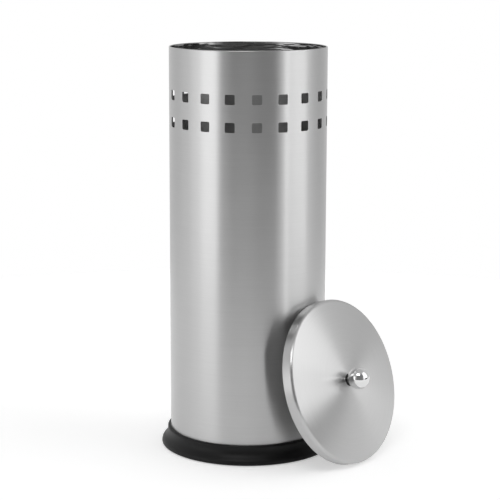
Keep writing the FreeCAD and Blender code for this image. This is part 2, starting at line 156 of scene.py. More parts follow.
class Finishes(bpy.types.PropertyGroup):
    """Colours and polish of the materials."""

    steel: colour("Brushed steel", (0.56, 0.56, 0.56), "Colour of the brushed steel")
    steel_roughness: share("Brushing", 0.30, "Roughness of the brushed steel")
    steel_grain: share("Grain", 0.9, "How strongly the brushing stretches reflections")
    mill: colour("Mill steel", (0.42, 0.42, 0.42), "Colour of the unbrushed steel inside")
    # the folded steel's dark grey is painted shade inside the mouth, not the steel's own colour
    fold: colour("Folded steel", (0.30, 0.30, 0.30), "Colour of the steel inside the hems")
    mill_roughness: share("Mill roughness", 0.40, "Roughness of the unbrushed steel")
    mill_grain: share("Rolling grain", 0.95, "How strongly the rolling stretches reflections")
    chrome: colour("Chrome", (0.82, 0.82, 0.82), "Colour of the chrome plate")
    chrome_roughness: share("Chrome roughness", 0.035, "Roughness of the chrome plate")
    plastic: colour("Plastic", (0.003, 0.003, 0.0032), "Colour of the foot's plastic")
    rubber: colour("Rubber", (0.018, 0.018, 0.018), "Colour of the rubber parts")
    zinc: colour("Zinc plate", (0.60, 0.60, 0.58), "Colour of the plated fasteners")


class StudioSettings(bpy.types.PropertyGroup):
    """Camera, light and floor."""

    camera_place: bpy.props.FloatVectorProperty(
        name="Camera", description="Place of the camera", default=(0.002, -1.428, 0.4483), subtype="XYZ"
    )
    camera_pitch: angle("Pitch", 10.71, "How far the camera looks down")
    camera_roll: angle("Roll", 0.17, "How far the camera is turned about its own axis")
    camera_lens: bpy.props.FloatProperty(
        name="Lens", description="Focal length in millimetres", default=116.1, subtype="DISTANCE_CAMERA"
    )
    floor_radius: length("Floor radius", 0.8, "Radius of the round floor")
    floor_grey: share("Floor grey", 0.86, "Grey level of the floor")
    seen_glow: share("Seen glow", 0.4, "Glow of the floor as it is seen directly")
    reflected_glow: share("Reflected glow", 0.27, "Glow of the floor in the object's reflections")
    light: bpy.props.FloatProperty(name="Light", description="Strength of the studio light", default=1.6)


# ---- mesh making ----------------------------------------------------------------------------------


def arc(centre, radius, start, end, steps):
    """Points of an arc in an outline, from one angle in degrees to another, both ends included."""
    points = []
    for i in range(steps + 1):
        turn = math.radians(start + (end - start) * i / steps)
        points.append((centre[0] + radius * math.cos(turn), centre[1] + radius * math.sin(turn)))
    return points


def run(start, end, steps):
    """Evenly spaced points of a straight stretch, both ends left out."""
    return [
        tuple(a + (b - a) * i / steps for a, b in zip(start, end, strict=True)) for i in range(1, steps)
    ]


def lathe(bm, outline, turns, first=0.0, closed=True, slots=None):
    """Turns an outline of (radius, height) points once round Z. slots gives each stretch its material."""
    rings = []
    for radius, height in outline:
        if radius < ON_AXIS:
            rings.append([bm.verts.new((0.0, 0.0, height))] * turns)
            continue
        ring = []
        for i in range(turns):
            a = first + math.tau * i / turns
            ring.append(bm.verts.new((radius * math.cos(a), radius * math.sin(a), height)))
        rings.append(ring)
    stretches = len(rings) if closed else len(rings) - 1
    for s in range(stretches):
        below, above = rings[s], rings[(s + 1) % len(rings)]
        for i in range(turns):
            j = (i + 1) % turns
            corners = list(dict.fromkeys((below[i], below[j], above[j], above[i])))
            if len(corners) > 2:
                face = bm.faces.new(corners)
                face.material_index = slots[s] if slots else OUTSIDE


def wrap_uv(bm, along, seam=0.0):
    """Gives every face a UV that runs once round Z, and up by along(radius, height)."""
    layer = bm.loops.layers.uv.new(UV_NAME)
    for face in bm.faces:
        middle = face.calc_center_median()
        centre = (math.atan2(middle.y, middle.x) - seam) % math.tau
        for loop in face.loops:
            x, y, z = loop.vert.co
            radius = math.hypot(x, y)
            a = centre
            if radius > ON_AXIS:
                a = (math.atan2(y, x) - seam) % math.tau
                if a - centre > math.pi:
                    a -= math.tau
                elif centre - a > math.pi:
                    a += math.tau
            loop[layer].uv = (a / math.tau, along(radius, z))


def finish_mesh(bm, name, materials, sharp=35.0):
    """Closes up a mesh, shades it smooth except at sharp edges, and makes its object."""
    bmesh.ops.remove_doubles(bm, verts=bm.verts, dist=1e-7)
    bmesh.ops.recalc_face_normals(bm, faces=bm.faces)
    limit = math.radians(sharp)
    for face in bm.faces:
        face.smooth = True
    for edge in bm.edges:
        if len(edge.link_faces) == 2 and edge.calc_face_angle() > limit:
            edge.smooth = False
    mesh = bpy.data.meshes.new(name)
    bm.to_mesh(mesh)
    bm.free()
    for material in materials:
        mesh.materials.append(material)
    piece = bpy.data.objects.new(name, mesh)
    bpy.context.scene.collection.objects.link(piece)
    return piece


def place(piece, body, slot, *nodes):
    """Makes a finished piece ride on a body in the place of CAD nodes."""
    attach(piece, body)
    if nodes:
        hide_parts(*nodes)
    return piece


# ---- materials ------------------------------------------------------------------------------------

NOISE_LOW, NOISE_HIGH = 0.3, 0.7
ACROSS_THE_LINES = 0.25  # in turns: brushed lines spread a reflection across themselves


def add(tree, kind, inputs=None, **settings):
    """Adds a node, with its settings and with values or links for its inputs."""
    made = tree.nodes.new(kind)
    for name, value in settings.items():
        setattr(made, name, value)
    for key, value in (inputs or {}).items():
        if isinstance(value, bpy.types.NodeSocket):
            tree.links.new(value, made.inputs[key])
        else:
            made.inputs[key].default_value = value
    return made


def maths(tree, operation, first, second=0.0):
    """Output of a Math node."""
    return add(tree, "ShaderNodeMath", {0: first, 1: second}, operation=operation).outputs[0]


def spread(tree, value, low, high, start=0.0, end=1.0):
    """Output of a Map Range node from start..end to low..high."""
    inputs = {"Value": value, "From Min": start, "From Max": end, "To Min": low, "To Max": high}
    return add(tree, "ShaderNodeMapRange", inputs).outputs["Result"]


def noise_of(tree, vector, scale, detail=2.0, roughness=0.5):
    """Grey output of a Noise Texture."""
    inputs = {"Vector": vector, "Scale": scale, "Detail": detail, "Roughness": roughness}
    return add(tree, "ShaderNodeTexNoise", inputs).outputs["Fac"]


def shade(tree, value, base, dark, light):
    """A colour between dark and light shares of a base colour, as a value goes from nought to one."""
    ramp = add(tree, "ShaderNodeValToRGB", {"Fac": value})
    for element, level in zip(ramp.color_ramp.elements, (dark, light), strict=True):
        element.color = [min(c * level, 1.0) for c in base] + [1.0]
    return ramp.outputs["Color"]


def new_material(name, **shader):
    """A material with one Principled shader whose plain values are set on its own sockets."""
    material = bpy.data.materials.new(name)
    material.use_nodes = True
    tree = material.node_tree
    principled = tree.nodes["Principled BSDF"]
    for socket, value in shader.items():
        principled.inputs[socket.replace("_", " ")].default_value = value
    return material, tree, principled


def feed(principled, **values):
    """Links outputs to a shader's sockets."""
    for socket, value in values.items():
        principled.id_data.links.new(value, principled.inputs[socket.replace("_", " ")])


def graded(tree, noise, low, high):
    """The range that holds most of a noise's values, spread from low to high."""
    return spread(tree, noise, low, high, NOISE_LOW, NOISE_HIGH)


def blend(tree, first, second, part):
    """Two values mixed, with a part of the first and the rest of the second."""
    rest = maths(tree, "MULTIPLY", second, 1 - part)
    return maths(tree, "ADD", maths(tree, "MULTIPLY", first, part), rest)


def bumps(tree, height, strength, depth):
    """Normal output of a Bump node."""
    inputs = {"Height": height, "Strength": strength, "Distance": depth}
    return add(tree, "ShaderNodeBump", inputs).outputs[0]


def object_place(tree):
    """The object's own coordinates, in metres."""
    return add(tree, "ShaderNodeTexCoord").outputs["Object"]


def ring_place(tree, around, across):
    """Coordinates for lines that run round the axis: slow round it, fast along the UV's second axis."""
    wrapped = add(tree, "ShaderNodeUVMap", uv_map=UV_NAME).outputs[0]
    uv = add(tree, "ShaderNodeSeparateXYZ", {0: wrapped})
    turn = maths(tree, "MULTIPLY", uv.outputs["X"], math.tau)
    inputs = {
        "X": maths(tree, "MULTIPLY", maths(tree, "COSINE", turn), around),
        "Y": maths(tree, "MULTIPLY", maths(tree, "SINE", turn), around),
        "Z": maths(tree, "MULTIPLY", uv.outputs["Y"], across),
    }
    return add(tree, "ShaderNodeCombineXYZ", inputs).outputs[0]


def way_round(tree):
    """The direction round the axis, in which brushed and rolled lines run."""
    return add(tree, "ShaderNodeTangent", direction_type="UV_MAP", uv_map=UV_NAME).outputs[0]


def brushed_steel(name, looks):
    """Steel brushed round the piece's axis: fine lines, broader streaks, faint smears and scratches."""
    material, tree, principled = new_material(
        name, Metallic=1.0, Anisotropic=looks.steel_grain, Anisotropic_Rotation=ACROSS_THE_LINES
    )
    fine = noise_of(tree, ring_place(tree, 2.2, 2600.0), 1.0, 3.0, 0.7)
    streak = noise_of(tree, ring_place(tree, 1.3, 420.0), 1.0, 2.0, 0.6)
    smear = noise_of(tree, object_place(tree), 14.0, 3.0, 0.55)
    scratch = noise_of(tree, ring_place(tree, 7.0, 900.0), 1.0, 1.0, 0.4)
    lines = blend(tree, fine, streak, 0.55)
    scratches = spread(tree, scratch, 0.0, 0.05, 0.72, 0.80)
    worn = maths(tree, "SUBTRACT", graded(tree, lines, 0.0, 1.0), scratches)
    rough = looks.steel_roughness
    grain = graded(tree, lines, rough - 0.015, rough + 0.015)
    dull = spread(tree, smear, -0.015, 0.02, 0.35, 0.7)
    feed(
        principled,
        Base_Color=shade(tree, worn, looks.steel, 0.965, 1.03),
        Roughness=maths(tree, "ADD", grain, dull),
        Normal=bumps(tree, fine, 0.04, 0.01 * MM),
        Tangent=way_round(tree),
    )
    return material


def mill_steel(name, looks):
    """Unbrushed sheet rolled round the piece's axis: glossy, slightly wavy, with faint rolling lines."""
    material, tree, principled = new_material(
        name, Metallic=1.0, Anisotropic=looks.mill_grain, Anisotropic_Rotation=ACROSS_THE_LINES
    )
    spot = object_place(tree)
    wave = noise_of(tree, spot, 42.0, 2.0, 0.5)
    cloud = noise_of(tree, spot, 90.0, 4.0, 0.6)
    rolling = noise_of(tree, ring_place(tree, 1.5, 700.0), 1.0, 3.0, 0.6)
    mottle = blend(tree, cloud, rolling, 0.5)
    rough = looks.mill_roughness
    feed(
        principled,
        Base_Color=shade(tree, mottle, looks.mill, 0.75, 1.2),
        Roughness=graded(tree, rolling, rough - 0.03, rough + 0.03),
        Normal=bumps(tree, wave, 0.3, 0.5 * MM),
        Tangent=way_round(tree),
    )
    return material


def folded_steel_with_painted_shade(name, looks):
    """The inside of a hem: glossy and wrinkled where the sheet is folded over, and set dark as painted
    shade of the mouth's inside.
    """
    material, tree, principled = new_material(name, Metallic=1.0)
    wrinkle = noise_of(tree, ring_place(tree, 4.0, 170.0), 1.0, 1.0, 0.4)
    stain = noise_of(tree, object_place(tree), 300.0, 3.0, 0.6)
    feed(
        principled,
        # the stains vary at random; the low grey of the fold colour is painted shade inside the mouth
        Base_Color=shade(tree, stain, looks.fold, 0.8, 1.15),
        Roughness=graded(tree, stain, 0.06, 0.13),
        Normal=bumps(tree, wrinkle, 0.55, 1.0 * MM),
    )
    return material


def stamped_steel(name, looks):
    """Pressed mill-finish sheet: satin and faintly mottled, with drawing marks."""
    material, tree, principled = new_material(name, Metallic=1.0)
    spot = object_place(tree)
    cloud = noise_of(tree, spot, 90.0, 4.0, 0.6)
    drawn = noise_of(tree, spot, 600.0, 3.0, 0.6)
    feed(
        principled,
        Base_Color=shade(tree, cloud, looks.mill, 0.85, 1.15),
        Roughness=graded(tree, drawn, 0.22, 0.36),
        Normal=bumps(tree, drawn, 0.15, 0.02 * MM),
    )
    return material


def cut_steel(name, looks):
    """Bare sheared metal on the walls of the vents and the ground weld line."""
    material, tree, principled = new_material(name, Metallic=1.0)
    sheared = noise_of(tree, object_place(tree), 2500.0, 2.0, 0.6)
    feed(
        principled,
        Base_Color=shade(tree, sheared, looks.steel, 0.8, 1.15),
        Roughness=graded(tree, sheared, 0.28, 0.48),
    )
    return material


def chrome_plate(name, looks):
    """Polished chrome with hairline marks and faint fingerprints."""
    material, tree, principled = new_material(name, Metallic=1.0)
    spot = object_place(tree)
    prints = noise_of(tree, spot, 260.0, 3.0, 0.55)
    stretched = add(tree, "ShaderNodeMapping", {"Vector": spot, "Scale": (300.0, 2400.0, 900.0)})
    hairlines = noise_of(tree, stretched.outputs[0], 1.0, 1.0, 0.4)
    polish = spread(tree, prints, looks.chrome_roughness, looks.chrome_roughness + 0.03, 0.45, 0.75)
    marks = spread(tree, hairlines, 0.0, 0.06, 0.70, 0.82)
    feed(
        principled,
        Base_Color=shade(tree, prints, looks.chrome, 0.95, 1.04),
        Roughness=maths(tree, "ADD", polish, marks),
    )
    return material


def moulded_plastic(name, looks):
    """Black moulded plastic with a fine satin texture and light rubbing near the floor."""
    material, tree, principled = new_material(name, IOR=1.5, Specular_IOR_Level=0.25)
    spot = object_place(tree)
    texture = noise_of(tree, spot, 3200.0, 2.0, 0.5)
    flow = noise_of(tree, spot, 22.0, 4.0, 0.6)
    scuffs = noise_of(tree, spot, 420.0, 4.0, 0.7)
    height = add(tree, "ShaderNodeSeparateXYZ", {0: spot}).outputs["Z"]
    low = spread(tree, height, 1.0, 0.0, 0.0, 4.0 * MM)
    rubbed = maths(tree, "MULTIPLY", low, spread(tree, scuffs, 0.0, 1.0, 0.5, 0.75))
    satin = graded(tree, flow, 0.40, 0.50)
    feed(
        principled,
        Base_Color=shade(tree, rubbed, looks.plastic, 1.0, 2.6),
        Roughness=maths(tree, "ADD", satin, maths(tree, "MULTIPLY", rubbed, 0.2)),
        Normal=bumps(tree, texture, 0.25, 0.03 * MM),
    )
    return material


def soft_rubber(name, looks):
    """Matt black rubber with dust in its grain."""
    material, tree, principled = new_material(name, IOR=1.5)
    spot = object_place(tree)
    grain = noise_of(tree, spot, 1800.0, 3.0, 0.6)
    dust = noise_of(tree, spot, 240.0, 4.0, 0.7)
    feed(
        principled,
        Base_Color=shade(tree, dust, looks.rubber, 0.8, 1.9),
        Roughness=graded(tree, dust, 0.65, 0.9),
        Normal=bumps(tree, grain, 0.4, 0.05 * MM),
    )
    return material


def plated_zinc(name, looks):
    """Zinc plate with a mottled spangle and tool marks."""
    material, tree, principled = new_material(name, Metallic=1.0)
    spot = object_place(tree)
    spangle = noise_of(tree, spot, 900.0, 3.0, 0.6)
    marks = noise_of(tree, spot, 5200.0, 1.0, 0.5)
    feed(
        principled,
        Base_Color=shade(tree, spangle, looks.zinc, 0.85, 1.08),
        Roughness=graded(tree, spangle, 0.24, 0.42),
        Normal=bumps(tree, marks, 0.2, 0.02 * MM),
    )
    return material


def finish_of(kind):
    """A finish by name, made once and shared by every piece that has it."""
    makers = {
        "tube_steel": brushed_steel,
        "lid_steel": brushed_steel,
        "mill_steel": mill_steel,
        "folded_steel_with_painted_shade": folded_steel_with_painted_shade,
        "stamped_steel": stamped_steel,
        "cut_steel": cut_steel,
        "chrome": chrome_plate,
        "black_plastic": moulded_plastic,
        "rubber": soft_rubber,
        "zinc": plated_zinc,
    }
    made = bpy.data.materials.get(kind)
    return made or makers[kind](kind, bpy.context.scene.canister_finishes)


def repaint(finishes):
    """Gives carried-over CAD nodes their finishes."""
    for node, kind in finishes.items():
        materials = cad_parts[node].data.materials
        materials.clear()
        materials.append(finish_of(kind))


# ---- the tube -------------------------------------------------------------------------------------

STEPS_PER_COLUMN = 12
CORNER_STEPS = 3
WALL_STEPS = 8
HEM_STEPS = 15
BEAD_STEPS = 8
BEAD_START = 30.0 * MM  # from the tube's lower edge to the weld bead
TUBE_FINISHES = ("tube_steel", "mill_steel", "cut_steel", "folded_steel_with_painted_shade")


def rectangle_loop(width, height):
    """Points round a rectangle from its lower right corner, a column's steps to each side."""
    x, y = width / 2, height / 2
    corners = [(x, -y), (x, y), (-x, y), (-x, -y)]
    points = []
    for i, corner in enumerate(corners):
        points.append(corner)
        points += run(corner, corners[(i + 1) % 4], STEPS_PER_COLUMN)
    return points


def vent_loop(side, corner, grow=0.0):
    """Points round a vent that pair up with those of rectangle_loop. grow widens it all round."""
    half = side / 2 + grow
    radius = corner + grow
    flat = half - radius
    points = []
    for quarter in range(4):
        turn = Matrix.Rotation(math.pi / 2 * quarter, 2)
        lower = arc((flat, -flat), radius, -45.0, 0.0, CORNER_STEPS)
        upper = arc((flat, flat), radius, 0.0, 45.0, CORNER_STEPS)
        straight = run(lower[-1], upper[0], STEPS_PER_COLUMN - 2 * CORNER_STEPS)
        points += [tuple(turn @ Vector(p)) for p in lower + straight + upper[:-1]]
    return points


def between(outer, inner, part):
    """A loop part of the way from one loop to another."""
    pairs = zip(outer, inner, strict=True)
    return [tuple(a + (b - a) * part for a, b in zip(p, q, strict=True)) for p, q in pairs]


def vent_cell(bm, sizes, turn, height):
    """One vent with the patch of wall round it: outside face, rounded edges, cut wall and inside face."""
    pitch = math.tau * sizes.radius / sizes.vent_columns
    patch = rectangle_loop(pitch, sizes.vent_pitch)
    bevel = sizes.vent_bevel
    turned_in = bevel * 0.3
    inner = sizes.radius - sizes.sheet
    wide = vent_loop(sizes.vent_side, sizes.vent_corner, bevel)
    bent = vent_loop(sizes.vent_side, sizes.vent_corner, turned_in)
    hole = vent_loop(sizes.vent_side, sizes.vent_corner)
    spacing = (0.0, 0.3, 0.6, 0.85)
    loops = [(between(patch, wide, part), sizes.radius, OUTSIDE) for part in spacing]
    loops += [
        (wide, sizes.radius, CUT_EDGE),
        (bent, sizes.radius - turned_in, CUT_EDGE),
        (hole, sizes.radius - bevel, CUT_EDGE),
        (hole, inner + bevel / 2, CUT_EDGE),
        (bent, inner, INSIDE),
    ]
    loops += [(between(patch, bent, part), inner, INSIDE) for part in reversed(spacing)]
    rings = []
    for points, radius, _ in loops:
        ring = []
        for across, up in points:
            a = turn + across / sizes.radius
            ring.append(bm.verts.new((radius * math.cos(a), radius * math.sin(a), height + up)))
        rings.append(ring)
    count = len(patch)
    for s in range(len(rings) - 1):
        for i in range(count):
            j = (i + 1) % count
            face = bm.faces.new((rings[s][i], rings[s][j], rings[s + 1][j], rings[s + 1][i]))
            face.material_index = loops[s][2]


def straighten_wall(piece, sizes):
    """Points the shading of both faces of the tube's wall straight out from the axis."""
    mesh = piece.data
    inner = sizes.radius - sizes.sheet
    slack = 0.01 * MM
    level = 1e-3
    top = sizes.top - sizes.hem_depth - sizes.hem_bevel
    normals = []
    for face in mesh.polygons:
        flat = abs(face.normal.z) < level and face.material_index != CUT_EDGE
        for loop in face.loop_indices:
            co = mesh.vertices[mesh.loops[loop].vertex_index].co
            radius = math.hypot(co.x, co.y)
            on_outside = face.material_index == OUTSIDE and abs(radius - sizes.radius) < slack
            on_inside = face.material_index == INSIDE and abs(radius - inner) < slack and co.z < top + slack
            outward = Vector((co.x, co.y, 0.0)).normalized()
            if flat and on_outside:
                normals.append(outward)
            elif flat and on_inside:
                normals.append(-outward)
            else:
                normals.append(Vector((0.0, 0.0, 0.0)))
    mesh.normals_split_custom_set(normals)


def strip_down_wall(bm, radius, rise, width, low, high, turn):
    """A low rounded bead down the wall of the tube, on the side that rise points to."""
    end_swell = 0.02
    root = radius - math.copysign(0.1 * MM, rise)
    rings = []
    for height in (low, low + abs(rise), high - abs(rise), high):
        swell = end_swell if height in (low, high) else 1.0
        ring = []
        for i in range(BEAD_STEPS + 1):
            across = i / BEAD_STEPS - 0.5
            a = turn + across * width / radius
            r = radius + rise * swell * math.cos(math.pi * across)
            ring.append(bm.verts.new((r * math.cos(a), r * math.sin(a), height)))
        for side in (0.5, -0.5):
            a = turn + side * width / radius
            ring.append(bm.verts.new((root * math.cos(a), root * math.sin(a), height)))
        rings.append(ring)
    count = BEAD_STEPS + 3
    for lower, upper in zip(rings, rings[1:], strict=False):
        for i in range(count):
            j = (i + 1) % count
            bm.faces.new((lower[i], lower[j], upper[j], upper[i]))
    bm.faces.new(rings[0])
    bm.faces.new(rings[-1])


class CANISTER_OT_tube(bpy.types.Operator):
    """Make the rolled tube with its hem, vents and seam"""

    bl_idname = "canister.tube"
    bl_label = "Tube"
    bl_options = {"REGISTER", "UNDO"}

    def execute(self, context):
        sizes = context.scene.canister_tube
        inner = sizes.radius - sizes.sheet
        fold = sizes.sheet + sizes.hem_gap / 2
        upper = sizes.top - sizes.vent_drop
        band_top = upper + sizes.vent_pitch / 2
        band_foot = band_top - sizes.vent_pitch * 2
        turns = sizes.vent_columns * STEPS_PER_COLUMN
        column = math.tau / sizes.vent_columns
        front = sizes.vent_turn - math.pi / 2
        first = front - column / 2
        bm = bmesh.new()
        foot, outer = sizes.foot, sizes.radius
        low_wall = [(inner, band_foot), *run((inner, band_foot), (inner, foot), WALL_STEPS), (inner, foot)]
        low_wall += [(outer, foot), *run((outer, foot), (outer, band_foot), WALL_STEPS), (outer, band_foot)]
        slots = [INSIDE] * WALL_STEPS + [CUT_EDGE] + [OUTSIDE] * WALL_STEPS
        lathe(bm, low_wall, turns, first, closed=False, slots=slots)
        hem_foot = sizes.top - sizes.hem_depth
        hem = arc((outer - fold, sizes.top - fold), fold, 0.0, 180.0, HEM_STEPS)
        high_wall = [(outer, band_top), *hem, (outer - fold * 2, hem_foot)]
        high_wall += [(inner, hem_foot - sizes.hem_bevel), (inner, band_top)]
        brushed = HEM_STEPS * 2 // 3 + 1
        slots = [OUTSIDE] * brushed + [FOLD] * (len(hem) + 1 - brushed) + [CUT_EDGE, INSIDE]
        lathe(bm, high_wall, turns, first, closed=False, slots=slots)
        for row in range(2):
            for i in range(sizes.vent_columns):
                vent_cell(bm, sizes, front + column * i, upper - sizes.vent_pitch * row)
        seam = front + math.pi
        wrap_uv(bm, lambda radius, height: height * UV_RISE, seam)
        tube = finish_mesh(bm, "tube_wall", [finish_of(kind) for kind in TUBE_FINISHES])
        straighten_wall(tube, sizes)
        place(tube, CANISTER, "brushed_tube", "body_tube")
        self.make_seam(sizes, inner, hem_foot, seam)
        return {"FINISHED"}

    def make_seam(self, sizes, inner, hem_foot, seam):
        """The weld bead inside the back seam, and its ground line outside."""
        bm = bmesh.new()
        bead_top = hem_foot - sizes.hem_bevel
        strip_down_wall(
            bm, inner, -sizes.bead_height, sizes.bead_width, sizes.foot + BEAD_START, bead_top, seam
        )
        wrap_uv(bm, lambda radius, height: height * UV_RISE, seam)
        bead = finish_mesh(bm, "seam_bead", [finish_of("mill_steel")])
        place(bead, CANISTER, "brushed_tube")
        bm = bmesh.new()
        line_foot = top_of("foot_ring") + 0.1 * MM
        line_top = sizes.top - 1.0 * MM
        strip_down_wall(bm, sizes.radius, sizes.line_height, sizes.line_width, line_foot, line_top, seam)
        line = finish_mesh(bm, "seam_line", [finish_of("cut_steel")])
        place(line, CANISTER, "brushed_tube")


# ---- the lid --------------------------------------------------------------------------------------

LID_TURNS = 288
TOP_STEPS = 3
DOME_STEPS = 60
INNER_DOME_STEPS = 40
SHOULDER_STEPS = 14
INNER_SHOULDER_STEPS = 10
SKIRT_STEPS = 6
RIM_STEPS = 14
KNOB_TURNS = 144
BALL_STEPS = 72
NECK_STEPS = 5
KNOB_FINISHES = {"knob_gasket": "rubber", "knob_washer": "zinc", "knob_screw": "zinc"}


def lid_place(tube, lid):
    """Matrix of the leaning lid: its own Z is the lid's axis, with the rim plane at nought."""
    outward = Vector((math.cos(lid.turn), -math.sin(lid.turn), 0.0))
    along = Vector((math.sin(lid.turn), math.cos(lid.turn), 0.0))
    fold = tube.sheet + tube.hem_gap / 2
    reach = tube.radius + lid.radius * math.sin(lid.lean)
    lift = (lid.radius - fold) * math.cos(lid.lean) - fold * math.sin(lid.lean) + fold
    centre = outward * reach + along * lid.slip + Vector((0.0, 0.0, lift))
    axis = outward * math.cos(lid.lean) + Vector((0.0, 0.0, math.sin(lid.lean)))
    up = axis.cross(along)
    return Matrix.Translation(centre) @ Matrix((along, up, axis)).transposed().to_4x4()


def check_place(piece, node):
    """Raises an error if a finished piece isn't where its CAD node is."""
    allowed = 0.3 * MM
    bpy.context.view_layer.update()
    corners = [piece.matrix_world @ v.co for v in piece.data.vertices]
    low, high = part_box(node)
    for i in range(3):
        values = [c[i] for c in corners]
        if abs(min(values) - low[i]) > allowed or abs(max(values) - high[i]) > allowed:
            raise RuntimeError(f"{piece.name} isn't where {node} is")


def dome(seat, edge, crown, foot, steps):
    """Points of a dome's arc from its seat to its edge, which lies lower by the same rise."""
    rise = crown - foot
    width = edge - seat
    radius = (width * width + rise * rise) / (rise * 2)
    reach = math.asin(width / radius)
    points = []
    for i in range(steps + 1):
        a = reach * i / steps
        points.append((seat + radius * math.sin(a), crown - radius * (1 - math.cos(a))))
    return points


def rounded_shoulder(points, wall, rounding, steps):
    """Ends a dome's arc in a rounded corner that runs down into an upright wall."""
    nearest = wall - rounding * 1.02
    kept = [p for p in points if p[0] < nearest]
    start = kept[-1]
    slope = math.atan2(points[-1][1] - start[1], points[-1][0] - start[0])
    centre_r = wall - rounding
    top = start[1] + (centre_r + rounding * math.sin(-slope) - start[0]) * math.tan(slope)
    centre = (centre_r, top - rounding * math.cos(slope))
    return kept + arc(centre, rounding, 90.0 + math.degrees(slope), 0.0, steps)


class CANISTER_OT_lid(bpy.types.Operator):
    """Make the spun lid"""

    bl_idname = "canister.lid"
    bl_label = "Lid"
    bl_options = {"REGISTER", "UNDO"}

    def execute(self, context):
        tube, lid = context.scene.canister_tube, context.scene.canister_lid
        fold = tube.sheet + tube.hem_gap / 2
        inner = lid.radius - tube.sheet
        outside = dome(lid.seat, lid.radius, lid.crown, lid.edge, DOME_STEPS)
        outside = rounded_shoulder(outside, lid.radius, lid.shoulder, SHOULDER_STEPS)
        inside = dome(lid.seat, inner, lid.crown - tube.sheet, lid.edge - tube.sheet, INNER_DOME_STEPS)
        inside = rounded_shoulder(inside, inner, lid.shoulder - tube.sheet, INNER_SHOULDER_STEPS)
        rim = arc((lid.radius - fold, fold), fold, 0.0, -180.0, RIM_STEPS)
        wall = run(outside[-1], rim[0], SKIRT_STEPS)
        hole_edge, seat_edge = (lid.hole, lid.crown), (lid.seat, lid.crown)
        outline = [hole_edge, *run(hole_edge, seat_edge, TOP_STEPS)]
        outline += outside + wall + rim
        outer_count = len(outline)
        outline += [(lid.radius - fold * 2, lid.hem_depth), (inner, lid.hem_depth + tube.hem_bevel)]
        outline += list(reversed(inside)) + [(lid.hole, lid.crown - tube.sheet)]
        slots = [OUTSIDE] * outer_count + [INSIDE] * (len(outline) - outer_count)
        bm = bmesh.new()
        lathe(bm, outline, LID_TURNS, slots=slots)
        crown = lid.crown
        wrap_uv(bm, lambda radius, height: (radius + crown - height) * UV_RISE)
        bmesh.ops.transform(bm, matrix=lid_place(tube, lid), verts=bm.verts)
        shell = finish_mesh(bm, "lid_dome", [finish_of("lid_steel"), finish_of("mill_steel")])
        place(shell, LID, "brushed_lid", "lid_shell")
        check_place(shell, "lid_shell")
        return {"FINISHED"}


class CANISTER_OT_knob(bpy.types.Operator):
    """Make the ball knob and finish the pieces that fasten it"""

    bl_idname = "canister.knob"
    bl_label = "Knob"
    bl_options = {"REGISTER", "UNDO"}

    def execute(self, context):
        tube, lid = context.scene.canister_tube, context.scene.canister_lid
        base = lid.crown + lid.gasket
        centre = base + lid.ball_rise
        join = math.degrees(math.asin(lid.neck / lid.ball))
        round_off = 0.35 * MM
        outline = [(lid.bore, base)]
        outline += arc((lid.neck - round_off, base + round_off), round_off, -90.0, 0.0, NECK_STEPS)
        outline += arc((0.0, centre), lid.ball, join - 90.0, 90.0, BALL_STEPS)[:-1]
        outline += [(0.0, centre + lid.ball), (0.0, base + lid.bore_depth)]
        outline.append((lid.bore, base + lid.bore_depth - lid.bore))
        bm = bmesh.new()
        lathe(bm, outline, KNOB_TURNS)
        wrap_uv(bm, lambda radius, height: height * UV_RISE)
        bmesh.ops.transform(bm, matrix=lid_place(tube, lid), verts=bm.verts)
        knob = finish_mesh(bm, "knob_ball", [finish_of("chrome")])
        place(knob, LID, "knob_chrome", "lid_knob")
        check_place(knob, "lid_knob")
        repaint(KNOB_FINISHES)
        return {"FINISHED"}


FOOT_FINISHES = {
    "foot_ring": "black_plastic",
    "grip_ring": "rubber",
    "floor_pan": "stamped_steel",
    "foot_screws": "zinc",
    "foot_nuts": "zinc",
}


class CANISTER_OT_foot(bpy.types.Operator):
    """Finish the foot, the floor pan and their fasteners"""

    bl_idname = "canister.foot"
    bl_label = "Foot and pan"
    bl_options = {"REGISTER", "UNDO"}

    def execute(self, context):
        repaint(FOOT_FINISHES)
        return {"FINISHED"}


# ---- the studio -----------------------------------------------------------------------------------


def direction_ramp(tree, value, stops):
    """A smooth ramp of grey levels over positions from nought to one."""
    ramp = add(tree, "ShaderNodeValToRGB", {"Fac": value})
    ramp.color_ramp.interpolation = "EASE"
    elements = ramp.color_ramp.elements
    while len(elements) < len(stops):
        elements.new(0.5)
    for element, (position, level) in zip(elements, stops, strict=True):
        element.position = position
        element.color = (level, level, level, 1.0)
    return ramp.outputs["Color"]


class SoftPanel(NamedTuple):
    """Light or shade between two bearings and two heights, with the width of its edge, all in degrees."""

    start: float
    end: float
    low: float
    high: float
    edge: float
    grey: float


SHADE_OVER_LEFT_LIGHT = SoftPanel(-96, -34, 24, 60, 10, 0.3)
SHADE_OVER_RIGHT_LIGHT = SoftPanel(40, 58, 22, 60, 8, 0.15)
RIGHT_LIGHT = SoftPanel(55, 102, 8, 48, 12, 1.1)
GAP_UNDER_RIGHT_LIGHT = SoftPanel(60, 97, -6, 5, 5, 0.0)
CEILING = SoftPanel(-200, 200, 52, 120, 20, 0.3)
FRONT_LIGHT = SoftPanel(-36, 12, 44, 62, 12, 2.4)
PANELS = (
    SHADE_OVER_LEFT_LIGHT,
    SHADE_OVER_RIGHT_LIGHT,
    RIGHT_LIGHT,
    GAP_UNDER_RIGHT_LIGHT,
    CEILING,
    FRONT_LIGHT,
)
FLOOR_SIDES = 96
# bearing in degrees from the front towards +X, and the grey level there
WALLS = (
    (-180, 0.44),
    (-125, 0.44),
    (-100, 0.53),
    (-80, 0.73),
    (-64, 1.03),
    (-50, 1.06),
    (-37, 0.27),
    (-20, 0.115),
    (20, 0.122),
    (39, 0.13),
    (50, 0.42),
    (60, 1.05),
    (76, 1.3),
    (92, 1.35),
    (100, 0.47),
    (125, 0.38),
    (180, 0.42),
)


